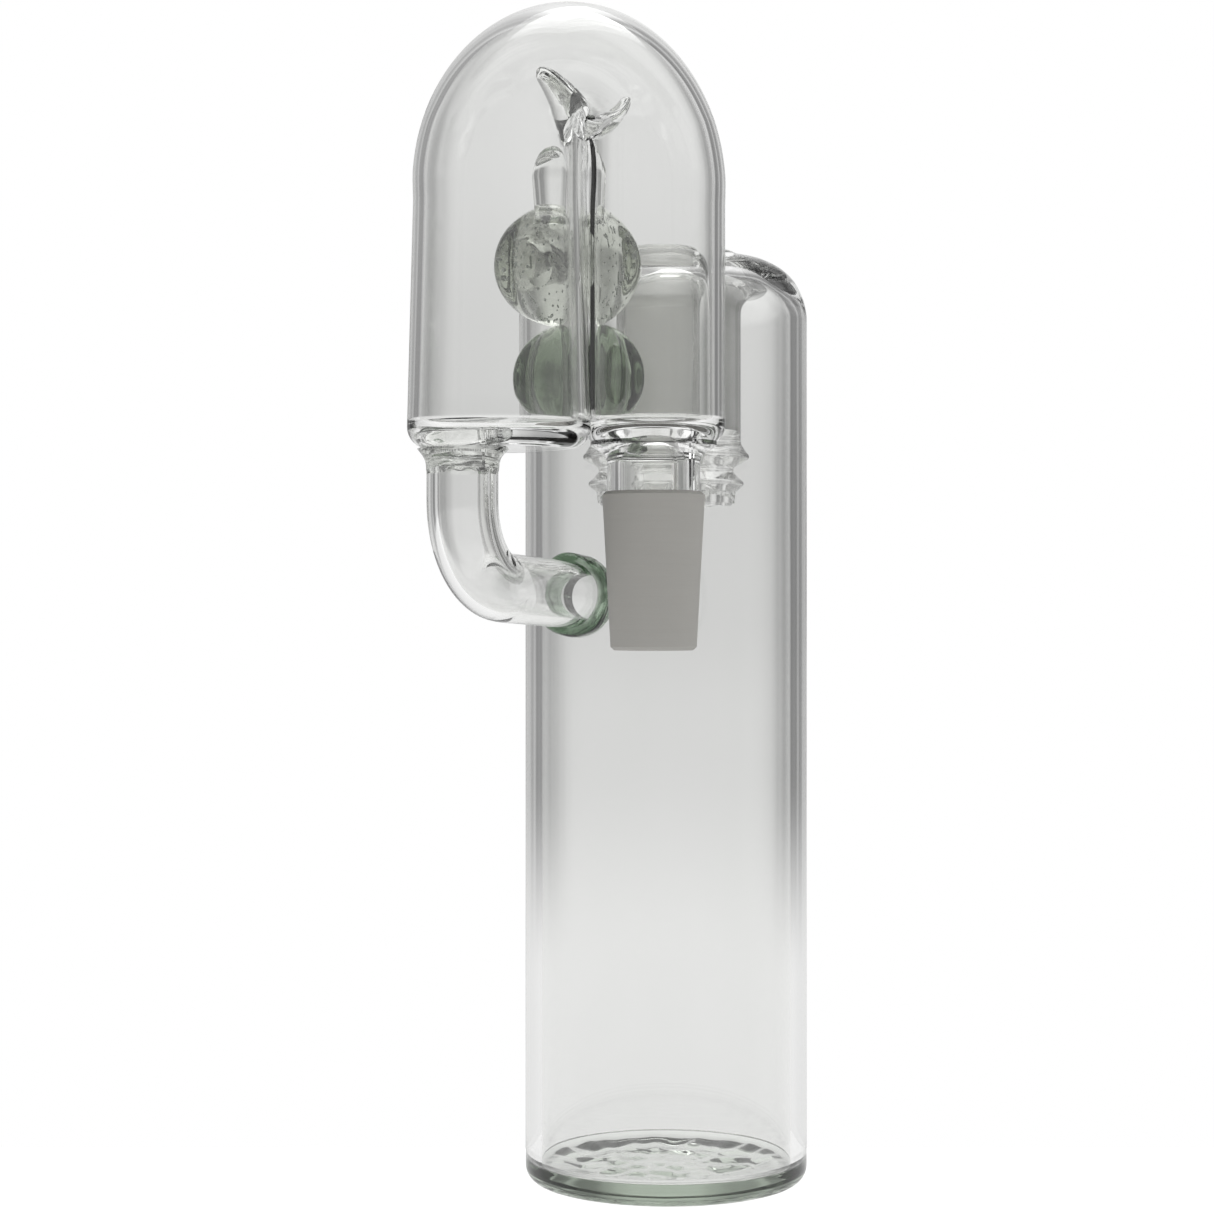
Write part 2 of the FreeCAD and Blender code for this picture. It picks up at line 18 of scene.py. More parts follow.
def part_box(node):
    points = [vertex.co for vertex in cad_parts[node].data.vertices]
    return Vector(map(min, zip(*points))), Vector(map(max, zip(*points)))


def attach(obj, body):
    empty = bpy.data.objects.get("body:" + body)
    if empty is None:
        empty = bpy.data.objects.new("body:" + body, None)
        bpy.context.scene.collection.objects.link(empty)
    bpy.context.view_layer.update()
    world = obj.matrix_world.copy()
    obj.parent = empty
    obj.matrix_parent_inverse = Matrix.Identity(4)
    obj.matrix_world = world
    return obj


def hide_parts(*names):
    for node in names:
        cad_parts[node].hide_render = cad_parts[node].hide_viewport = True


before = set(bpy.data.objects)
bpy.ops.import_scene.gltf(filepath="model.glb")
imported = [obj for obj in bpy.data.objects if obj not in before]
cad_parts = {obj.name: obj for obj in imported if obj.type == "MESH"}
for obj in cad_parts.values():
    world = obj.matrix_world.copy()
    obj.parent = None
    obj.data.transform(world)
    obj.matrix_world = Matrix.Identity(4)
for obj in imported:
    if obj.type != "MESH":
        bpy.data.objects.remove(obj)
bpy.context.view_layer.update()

MM = 0.001
SLIVER = 1e-6
SHARP = math.radians(38)
GLASS_IOR = 1.474
GOLDEN_TURN = 2.399963
LOG = logging.getLogger("glass_bubbler")
Corner = tuple[float, float]
Colour = tuple[float, float, float]
Number = Union[float, "Sock"]
Tree = bpy.types.NodeTree
Shape = bmesh.types.BMesh
Piece = bpy.types.Object
Material = bpy.types.Material


# ----------------------------------------------------------------------------- shader maths
class Sock:
    """A shader value that Python's operators can be used on."""

    def __init__(self, tree: Tree, socket: bpy.types.NodeSocket) -> None:
        """Wrap one output socket of a node tree."""
        self.tree = tree
        self.socket = socket

    def _math(self, operation: str, first: Number, second: Number) -> "Sock":
        """Add a Math node of two values or links, and return its result."""
        return add_node(self.tree, "ShaderNodeMath", {"operation": operation},
                        {0: first, 1: second})

    def __add__(self, other: Number) -> "Sock":
        """Return the sum."""
        return self._math("ADD", self, other)

    def __sub__(self, other: Number) -> "Sock":
        """Return the difference."""
        return self._math("SUBTRACT", self, other)

    def __rsub__(self, other: Number) -> "Sock":
        """Return the difference with the plain number first."""
        return self._math("SUBTRACT", other, self)

    def __mul__(self, other: Number) -> "Sock":
        """Return the product."""
        return self._math("MULTIPLY", self, other)

    def angle(self, other: Number) -> "Sock":
        """Return the angle of a right triangle with this value opposite and the other beside."""
        return self._math("ARCTAN2", self, other)

    __radd__ = __add__
    __rmul__ = __mul__


def add_node(tree: Tree, kind: str, settings: Optional[dict[str, Any]] = None,
             inputs: Optional[dict[Any, Any]] = None, output: Any = 0) -> Sock:
    """Add any node to a tree.

    Args:
        tree: the node tree to add to.
        kind: the node's type name.
        settings: properties set first, with a ramp's stops under "stops".
        inputs: values or links by socket name or number.
        output: which output to hand back.

    Returns:
        The wrapped output socket.
    """
    node = tree.nodes.new(kind)
    for name, setting in (settings or {}).items():
        if name == "stops":
            ramp = node.color_ramp
            ramp.interpolation = "EASE"
            while len(ramp.elements) > 1:
                ramp.elements.remove(ramp.elements[-1])
            for index, (place, shade) in enumerate(setting):
                stop = ramp.elements[0] if index == 0 else ramp.elements.new(place)
                stop.position = place
                stop.color = (shade, shade, shade, 1.0)
        else:
            setattr(node, name, setting)
    link(tree, node, inputs or {})
    return Sock(tree, node.outputs[output])


def link(tree: Tree, node: bpy.types.Node, inputs: dict[Any, Any]) -> None:
    """Set or link a node's sockets, by name or number."""
    for key, given in inputs.items():
        if isinstance(given, Sock):
            tree.links.new(given.socket, node.inputs[key])
        else:
            node.inputs[key].default_value = given


def blend(tree: Tree, factor: Sock, low: Colour, high: Colour) -> Sock:
    """Mix two colours, from the low one at 0 to the high one at 1."""
    return add_node(tree, "ShaderNodeMix", {"data_type": "RGBA"}, {
        "Factor": factor, "A": (*low, 1.0), "B": (*high, 1.0)}, output="Result")


# ----------------------------------------------------------------------------- finishes
class Slot(Enum):
    """The record's material slots."""

    CLEAR = "clear_glass"
    THICK = "thick_glass"
    MARBLE = "marble_glass"
    FROSTED = "frosted_glass"


@dataclass(frozen=True)
class PolishedGlass:
    """Fire-polished borosilicate glass, with the faint waves that a flame leaves."""

    name: str
    slot: Slot
    tint: Colour = (0.975, 0.975, 0.97)
    tint_low: Colour = (0.95, 0.955, 0.945)
    depth_colour: Colour = (0.62, 0.8, 0.68)
    depth: float = 0.0
    wave_size: float = 9.0
    wave_stretch: float = 0.25
    wave_height: float = 0.02
    ior: float = GLASS_IOR

    def make(self) -> Material:
        """Build the material.

        Returns:
            A clear glass whose tint and surface vary gently in the piece's own space.
        """
        material, tree, shader, out = new_material(self.name)
        spot = add_node(tree, "ShaderNodeTexCoord", output="Object")
        drawn = add_node(tree, "ShaderNodeMapping", inputs={
            "Vector": spot, "Scale": (1.0, 1.0, self.wave_stretch)})
        waves = add_node(tree, "ShaderNodeTexNoise", inputs={
            "Vector": drawn, "Scale": 1.0 / (self.wave_size * MM), "Detail": 1.0,
            "Roughness": 0.4})
        mixed = blend(tree, waves, self.tint_low, self.tint)
        bump = add_node(tree, "ShaderNodeBump", inputs={
            "Strength": 1.0, "Distance": self.wave_height * MM, "Height": waves})
        link(tree, shader, {
            "Base Color": mixed, "Roughness": 0.0, "IOR": self.ior, "Transmission Weight": 1.0,
            "Normal": bump})
        if self.depth > 0:
            add_depth(tree, out, self.depth_colour, self.depth)
        return material


@dataclass(frozen=True)
class GroundGlass:
    """The matte face of a ground taper joint."""

    name: str
    slot: Slot
    colour: Colour = (0.5, 0.49, 0.46)
    colour_worn: Colour = (0.56, 0.55, 0.52)
    roughness: float = 0.62
    through: float = 0.3
    grit_size: float = 0.22

    def make(self) -> Material:
        """Build the material.

        Returns:
            A fine-grained, half-translucent matte glass with faint turning marks.
        """
        material, tree, shader, _ = new_material(self.name)
        spot = add_node(tree, "ShaderNodeTexCoord", output="Object")
        grit = add_node(tree, "ShaderNodeTexNoise", inputs={
            "Vector": spot, "Scale": 1.0 / (self.grit_size * MM), "Detail": 3.0})
        turned = add_node(tree, "ShaderNodeMapping", inputs={
            "Vector": spot, "Scale": (0.2, 0.2, 4.0)})
        marks = add_node(tree, "ShaderNodeTexNoise", inputs={
            "Vector": turned, "Scale": 700.0, "Detail": 2.0})
        shade = blend(tree, marks * 0.5 + grit * 0.5, self.colour, self.colour_worn)
        bump = add_node(tree, "ShaderNodeBump", inputs={
            "Strength": 0.5, "Distance": 0.02 * MM, "Height": grit + marks})
        link(tree, shader, {
            "Base Color": shade, "Roughness": self.roughness + grit * 0.15, "IOR": GLASS_IOR,
            "Transmission Weight": self.through, "Normal": bump})
        return material


@dataclass(frozen=True)
class SeedBubble:
    """The small air bubbles trapped in a marble, seen as pale specks."""

    name: str = "seed_bubble_finish"
    slot: Slot = Slot.MARBLE

    def make(self) -> Material:
        """Build the material.

        Returns:
            A pale glossy speck that darkens gently from bubble to bubble.
        """
        material, tree, shader, _ = new_material(self.name)
        spot = add_node(tree, "ShaderNodeTexCoord", output="Object")
        vary = add_node(tree, "ShaderNodeTexNoise", inputs={"Vector": spot, "Scale": 600.0})
        shade = blend(tree, vary, (0.5, 0.54, 0.5), (0.95, 0.97, 0.95))
        link(tree, shader, {"Base Color": shade, "Roughness": 0.15})
        return material


def new_material(name: str) -> tuple[Material, Tree,
                                     bpy.types.Node, bpy.types.Node]:
    """Start a node material.

    Args:
        name: the material's name.

    Returns:
        The material, its tree, its Principled shader and its output node.
    """
    material = bpy.data.materials.new(name)
    material.use_nodes = True
    tree = material.node_tree
    tree.nodes.clear()
    shader = tree.nodes.new("ShaderNodeBsdfPrincipled")
    out = tree.nodes.new("ShaderNodeOutputMaterial")
    tree.links.new(shader.outputs["BSDF"], out.inputs["Surface"])
    return material, tree, shader, out


def add_depth(tree: Tree, out: bpy.types.Node,
              colour: Colour, density: float) -> None:
    """Give a glass the green that it shows only where it is thick.

    Args:
        tree: the material's tree.
        out: its output node.
        colour: what stays of white light after one unit of depth.
        density: how fast the colour builds up, per metre.
    """
    volume = tree.nodes.new("ShaderNodeVolumeAbsorption")
    volume.inputs["Color"].default_value = (*colour, 1.0)
    volume.inputs["Density"].default_value = density
    tree.links.new(volume.outputs["Volume"], out.inputs["Volume"])


# ----------------------------------------------------------------------------- mesh making
def arc(centre: Corner, radius: float, start: float, stop: float, steps: int = 8) -> list[Corner]:
    """Points along a circular arc of an outline.

    Args:
        centre: the arc's centre, as radius and height.
        radius: the arc's radius.
        start: the first angle in degrees, from the outward direction towards up.
        stop: the last angle.
        steps: how many spans it has.

    Returns:
        The points, both ends included.
    """
    angles = [math.radians(start + (stop - start) * k / steps) for k in range(steps + 1)]
    return [(centre[0] + radius * math.cos(a), centre[1] + radius * math.sin(a)) for a in angles]


def lathe(outline: Sequence[Corner], closed: bool, steps: int = 144) -> Shape:
    """Spin an outline about the Z axis.

    Args:
        outline: points as radius and height.
        closed: whether the last point joins the first, as on a ring.
        steps: how many spans go round.

    Returns:
        A closed mesh with its normals outward.
    """
    bm = bmesh.new()
    points = [bm.verts.new((max(r, 0.0), 0.0, z)) for r, z in outline]
    pairs = list(zip(points, points[1:])) + ([(points[-1], points[0])] if closed else [])
    edges = [bm.edges.new(pair) for pair in pairs]
    bmesh.ops.spin(bm, geom=points + edges, cent=(0, 0, 0), axis=(0, 0, 1), dvec=(0, 0, 0),
                   angle=math.tau, steps=steps, use_merge=True, use_normal_flip=False,
                   use_duplicate=False)
    bmesh.ops.remove_doubles(bm, verts=bm.verts, dist=1e-5)
    bmesh.ops.dissolve_degenerate(bm, edges=bm.edges, dist=1e-6)
    bmesh.ops.recalc_face_normals(bm, faces=bm.faces)
    return bm


def sweep_ring(bm: Shape, places: Sequence[Matrix], steps: int) -> tuple[list, list]:
    """Carry a unit circle through a row of places and skin between them.

    Args:
        bm: the mesh to add to.
        places: one transform of the unit circle per section.
        steps: how many sides the circle has.

    Returns:
        The edges of the first ring and of the last one.
    """
    made = bmesh.ops.create_circle(bm, cap_ends=False, segments=steps, radius=1.0)
    ring = made["verts"]
    first = edges = list({edge for vert in ring for edge in vert.link_edges})
    bmesh.ops.transform(bm, matrix=places[0], verts=ring)
    for before, after in zip(places, places[1:]):
        grown = bmesh.ops.extrude_edge_only(bm, edges=edges)["geom"]
        ring = [item for item in grown if isinstance(item, bmesh.types.BMVert)]
        edges = [item for item in grown if isinstance(item, bmesh.types.BMEdge)
                 and all(vert in ring for vert in item.verts)]
        bmesh.ops.transform(bm, matrix=after @ before.inverted(), verts=ring)
    return first, edges


def tube(outer: Sequence[Matrix], inner: Sequence[Matrix], steps: int = 96) -> Shape:
    """A hollow tube between an outer and an inner row of sections.

    Args:
        outer: transforms of the unit circle along the outside.
        inner: the same along the bore.
        steps: how many sides it has.

    Returns:
        A closed mesh with its normals outward.
    """
    bm = bmesh.new()
    for end_outer, end_inner in zip(sweep_ring(bm, outer, steps), sweep_ring(bm, inner, steps)):
        bmesh.ops.bridge_loops(bm, edges=end_outer + end_inner)
    bmesh.ops.recalc_face_normals(bm, faces=bm.faces)
    return bm


def rod(places: Sequence[Matrix], steps: int = 64) -> Shape:
    """A solid rod through a row of sections, closed at both ends.

    Args:
        places: transforms of the unit circle.
        steps: how many sides it has.

    Returns:
        A closed mesh with its normals outward.
    """
    bm = bmesh.new()
    for end in sweep_ring(bm, places, steps):
        bmesh.ops.holes_fill(bm, edges=end)
    bmesh.ops.recalc_face_normals(bm, faces=bm.faces)
    return bm


def oval(centre: Vector, across: Vector, along: Vector) -> Matrix:
    """A transform that makes the unit circle into an ellipse.

    Args:
        centre: the ellipse's centre.
        across: one half axis.
        along: the other half axis.

    Returns:
        The transform.
    """
    normal = across.cross(along).normalized()
    turn = Matrix((across, along, normal)).transposed().to_4x4()
    return Matrix.Translation(centre) @ turn


def upward(length: float) -> Vector:
    """An upright vector of some length."""
    return Vector((0.0, 0.0, length))


def polar(angle: float, length: float = 1.0) -> Vector:
    """A level vector of some length at an angle in radians from +X."""
    return Vector((math.cos(angle) * length, math.sin(angle) * length, 0.0))


def ripple(bm: Shape, size: float, height: float,
           where: Callable[[Vector], float], seed: float = 0.0) -> None:
    """Move vertices along their normals by a smooth noise.

    Args:
        bm: the mesh.
        size: the width of one wave.
        height: the most that a vertex moves.
        where: how strongly each place is moved, from 0 to 1.
        seed: picks another pattern.
    """
    bm.normal_update()
    for vert in bm.verts:
        wave = noise.noise(vert.co / size + Vector((seed, seed, seed)))
        vert.co += vert.normal * wave * height * where(vert.co)


def carve(piece: Piece, cutter: Shape,
          operation: str = "DIFFERENCE") -> None:
    """Combine a finished piece with a closed shape, and keep the result as its mesh.

    Args:
        piece: the piece to change.
        cutter: the shape, in millimetres; it is used up.
        operation: DIFFERENCE to cut it out, or UNION to fuse it on.
    """
    bmesh.ops.scale(cutter, vec=(MM, MM, MM), verts=cutter.verts)
    tool_mesh = add_mesh("cutter", cutter)
    tool = add_object("cutter", tool_mesh)
    step = piece.modifiers.new("cut", "BOOLEAN")
    step.operation = operation
    step.solver = "EXACT"
    step.object = tool
    graph = bpy.context.evaluated_depsgraph_get()
    result = bpy.data.meshes.new_from_object(piece.evaluated_get(graph))
    piece.modifiers.clear()
    old = piece.data
    result.name = old.name
    piece.data = result
    bpy.data.meshes.remove(old)
    bpy.data.objects.remove(tool)
    bpy.data.meshes.remove(tool_mesh)
    result.set_sharp_from_angle(angle=SHARP)


def melt_slivers(piece: Piece) -> None:
    """Close the hairline gaps that a row of cuts leaves in a piece's mesh."""
    bm = bmesh.new()
    bm.from_mesh(piece.data)
    bmesh.ops.dissolve_degenerate(bm, edges=bm.edges, dist=SLIVER)
    bm.to_mesh(piece.data)
    bm.free()


def add_object(name: str, data: bpy.types.ID) -> Piece:
    """Put an object into the scene and return it."""
    made = bpy.data.objects.new(name, data)
    bpy.context.scene.collection.objects.link(made)
    return made


def add_mesh(name: str, bm: Shape) -> bpy.types.Mesh:
    """Turn a working mesh, which is used up, into a mesh of the file."""
    mesh = bpy.data.meshes.new(name)
    bm.to_mesh(mesh)
    bm.free()
    return mesh


@dataclass
class Workshop:
    """Turns meshes into pieces that ride with the frame."""

    finishes: dict[str, Material] = field(default_factory=dict)

    def finish(self, look: Any) -> Material:
        """Return a look's material, made on first use."""
        if look.name not in self.finishes:
            self.finishes[look.name] = look.make()
        return self.finishes[look.name]

    def place(self, name: str, bm: Shape, look: Any, where: Matrix = Matrix.Identity(4),
              nodes: Optional[Sequence[str]] = None, slot: Optional[Slot] = None) -> Piece:
        """Make a piece from a mesh in millimetres.

        Args:
            name: the piece's name.
            bm: its mesh, which is used up.
            look: its finish.
            where: a transform in millimetres, baked into the mesh.
            nodes: the frame's nodes that it stands for, when not the one of its own name.
            slot: the record's slot that it stands for, when not its finish's; it is not used.

        Returns:
            The new object.
        """
        bmesh.ops.transform(bm, matrix=Matrix.Scale(MM, 4) @ where, verts=bm.verts)
        mesh = add_mesh(name, bm)
        mesh.shade_smooth()
        mesh.set_sharp_from_angle(angle=SHARP)
        mesh.materials.append(self.finish(look))
        piece = add_object(name, mesh)
        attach(piece, "root")
        replaced = [name] if nodes is None else nodes
        if replaced:
            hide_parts(*replaced)
        LOG.info("%s: %d faces", name, len(mesh.polygons))
        return piece


def node_box(node: str) -> tuple[Vector, Vector]:
    """A frame node's lowest and highest corners, in millimetres."""
    low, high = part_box(node)
    return low / MM, high / MM


def node_axis(node: str) -> Vector:
    """The foot of a frame node's upright axis, in millimetres."""
    low, high = node_box(node)
    return Vector(((low.x + high.x) / 2, (low.y + high.y) / 2, 0.0))


# ----------------------------------------------------------------------------- finishes used
CLEAR = PolishedGlass("clear_glass_finish", Slot.CLEAR)
LEGS = PolishedGlass("leg_glass_finish", Slot.CLEAR, wave_size=14.0, wave_height=0.03)
THICK = PolishedGlass("thick_glass_finish", Slot.THICK, depth=40.0, wave_size=4.0,
                      depth_colour=(0.6, 0.68, 0.58), wave_stretch=1.0, wave_height=0.04)
WELD = PolishedGlass("weld_glass_finish", Slot.THICK, depth=1100.0, wave_size=3.0,
                     depth_colour=(0.5, 0.62, 0.5), wave_stretch=1.0, wave_height=0.05)
MARBLE = PolishedGlass("marble_glass_finish", Slot.MARBLE, depth=45.0, wave_size=4.0,
                       depth_colour=(0.42, 0.46, 0.36), wave_stretch=1.0, wave_height=0.12)
LOW_MARBLE = PolishedGlass("low_marble_finish", Slot.MARBLE, depth=190.0, wave_size=6.0,
                           depth_colour=(0.42, 0.5, 0.38), wave_stretch=0.6, wave_height=0.3)
GROUND = GroundGlass("ground_glass_finish", Slot.FROSTED)
GROUND_BORE = GroundGlass("ground_bore_finish", Slot.FROSTED, colour=(0.86, 0.86, 0.83),
                          colour_worn=(0.92, 0.92, 0.9), roughness=0.5, through=0.8)
INSET = 0.02
LAP = 0.1


# ----------------------------------------------------------------------------- sub-assemblies
@dataclass
class Chamber:
    """The tall chamber, its foot and shoulder, and the socket sealed into its top."""

    shop: Workshop
    wall: float = 2.5
    foot_round: float = 2.6
    dish_radius: float = 14.0
    dish_depth: float = 0.8
    shoulder_thickness: float = 3.6
    shoulder_land: float = 0.4
    seal_radius: float = 4.4
    socket_large: float = 18.8
    socket_small: float = 16.2
    tail_bore: float = 14.0
    lip_round: float = 1.5
    guard: float = 0.3
    rings: int = 14

    def __post_init__(self) -> None:
        """Read the levels and radii that the frame sets."""
        low, high = node_box("chamber_tube")
        self.radius = (high.x - low.x) / 2
        self.bore = self.radius - self.wall
        self.foot_top, self.height = low.z, high.z
        self.top = node_box("chamber_shoulder")[1].z
        low, high = node_box("socket_joint")
        self.socket_radius = (high.x - low.x) / 2
        self.tail_top, self.socket_top = low.z, high.z
        self.tail_end = node_box("socket_tail")[0].z
        self.knuckle = self.radius - self.socket_radius - self.shoulder_land

    def foot(self) -> None:
        """The thick foot, whose floor is dished and printed with soft rings."""
        rim = self.radius - self.foot_round
        floor = self.foot_top - self.dish_depth
        inner = [(self.bore + LAP, self.foot_top + 0.4), (self.bore - 0.5, self.foot_top + 0.1),
                 (self.dish_radius + 2.5, self.foot_top)]
        inner += [(self.dish_radius * k / 14, floor) for k in range(14, -1, -1)]
        bm = lathe([(0.0, 0.0), (rim * 0.5, 0.0)] + arc((rim, self.foot_round), self.foot_round,
                                                        -90, 0)
                   + [(self.radius, self.foot_top)] + inner, closed=False)
        ripple(bm, 3.2, 0.55, lambda at: float(at.z > 2.0 and 4 < at.xy.length < 18), seed=3.0)
        self.shop.place("foot_disc", bm, THICK)

    def tube(self) -> Piece:
        """The straight wall and the domed shoulder over it, lapped into the foot."""
        low = self.foot_top - LAP
        inner = self.knuckle - self.shoulder_thickness
        under = self.top - self.shoulder_thickness
        span = self.height - self.foot_top
        levels = [self.foot_top, self.foot_top + self.guard]
        levels += [self.foot_top + span * k / self.rings for k in range(1, self.rings)]
        outline = [(self.radius - INSET, low)] + [(self.radius, z) for z in levels]
        outline += arc((self.radius - self.knuckle, self.height), self.knuckle, 0, 90, 20)
        outline += [(self.socket_radius - LAP, self.top), (self.socket_radius - LAP, under)]
        outline += arc((self.bore - inner, self.height), inner, 90, 0, 18)
        outline += [(self.bore, z) for z in reversed(levels)] + [(self.bore + INSET, low)]
        bm = lathe(outline, closed=True, steps=192)
        ripple(bm, 9.0, 0.3, lambda at: min(1.0, max(0.0, at.z - self.height - 2) / 4))
        return self.shop.place("chamber_wall", bm, CLEAR,
                               nodes=["chamber_tube", "chamber_shoulder"])

    def seal(self) -> None:
        """The fillet under the shoulder, where the socket is sealed in."""
        inner = self.knuckle - self.shoulder_thickness
        reach = self.socket_radius + self.seal_radius
        offset = reach - (self.bore - inner)
        level = self.height + math.sqrt(inner ** 2 - offset ** 2)
        turn = math.degrees(math.acos(offset / inner))
        outline = arc((reach, level - self.seal_radius), self.seal_radius, 180, 90, 12)
        outline += arc((self.bore - inner, self.height), inner + LAP, turn, 90, 6)
        outline += [(self.socket_radius - LAP, self.height + inner + LAP),
                    (self.socket_radius - LAP, level - self.seal_radius)]
        self.shop.place("ring_seal", lathe(outline, closed=True), CLEAR)

    def socket(self) -> None:
        """The ground socket with its fire-polished lip and clear outside."""
        lip = self.lip_round
        outline = [(self.tail_bore / 2, self.tail_top), (self.socket_radius, self.tail_top)]
        outline += arc((self.socket_radius - lip, self.socket_top - lip), lip, 0, 90, 8)
        outline += arc((self.socket_radius - lip, self.socket_top - 0.7), 0.7, 90, 180, 4)[1:]
        outline += [(self.socket_large / 2, self.socket_top - 1.8),
                    (self.socket_small / 2, self.tail_top + 1.1)]
        bm = lathe(outline, closed=True, steps=160)
        piece = self.shop.place("socket_joint", bm, CLEAR, slot=Slot.FROSTED)
        piece.data.materials.append(self.shop.finish(GROUND_BORE))
        low, high = (self.tail_top + 1.0) * MM, (self.socket_top - 1.7) * MM
        limit = (self.socket_large / 2 + 0.2) * MM
        for face in piece.data.polygons:
            if low < face.center.z < high and face.center.xy.length < limit:
                face.material_index = 1

    def tail(self) -> None:
        """The ringed tail of the socket, with pointed fire-polished rings."""
        bore = self.tail_bore / 2
        lap = self.tail_top + LAP
        outline = [(bore + INSET, lap), (bore, self.tail_top), (bore, self.tail_end + 0.4),
                   (bore + 0.4, self.tail_end), (10.3, self.tail_end),
                   (10.7, self.tail_end + 0.4), (10.9, self.tail_end + 2.2)]
        outline += arc((11.6, self.tail_end + 3.5), 0.55, -60, 60, 5)
        outline += arc((11.3, self.tail_end + 5.6), 0.75, 240, 120, 5)
        outline += arc((12.4, self.tail_end + 7.7), 0.6, -60, 60, 5)
        outline += [(self.socket_radius + 0.1, self.tail_end + 9.6),
                    (self.socket_radius, self.tail_top), (self.socket_radius - INSET, lap)]
        self.shop.place("socket_tail", lathe(outline, closed=True), CLEAR)

    def build(self) -> Piece:
        """Make every piece of the chamber, and return its wall, which is still to be bored."""
        self.foot()
        wall = self.tube()
        self.seal()
        self.socket()
        self.tail()
        return wall


@dataclass(frozen=True)
class Ridge:
    """A ridge of glass by stations: place along, height from the crotch, width and depth."""

    stations: tuple[tuple[float, float, float, float], ...]

    def smooth(self, steps: int = 6) -> list[tuple[float, ...]]:
        """Stations with rounded steps between them.

        Args:
            steps: how many spans run between two stations.

        Returns:
            The finer row of stations.
        """
        given = [Vector(station) for station in self.stations]
        fine = []
        for k in range(len(given) - 1):
            before, start = given[max(k - 1, 0)], given[k]
            stop, after = given[k + 1], given[min(k + 2, len(given) - 1)]
            for step in range(steps):
                t = step / steps
                fine.append(tuple(0.5 * (
                    2 * start + (stop - before) * t
                    + (2 * before - 5 * start + 4 * stop - after) * t ** 2
                    + (3 * start - before - 3 * stop + after) * t ** 3)))
        return fine + [tuple(given[-1])]


SPINE = Ridge(((0.5, -39.9, 3.0, 13.5), (0.5, -30.0, 3.0, 13.5), (0.5, -14.0, 3.0, 13.5),
               (0.5, -8.0, 3.4, 13.0), (0.2, -3.8, 3.8, 12.6), (-0.7, -0.4, 4.0, 12.0),
               (-2.3, 2.7, 3.6, 10.0), (-4.3, 5.3, 2.8, 7.4), (-5.9, 6.9, 1.9, 4.8),
               (-6.6, 7.6, 0.5, 1.6)))
RIGHT_LIP = Ridge(((-0.8, 0.2, 3.4, 9.0), (0.8, -0.2, 3.8, 10.4), (2.4, 0.1, 3.6, 10.4),
                   (4.0, 1.1, 2.9, 9.4), (5.2, 2.5, 2.2, 7.4), (6.0, 3.8, 1.5, 4.8),
                   (6.3, 4.3, 0.5, 1.6)))


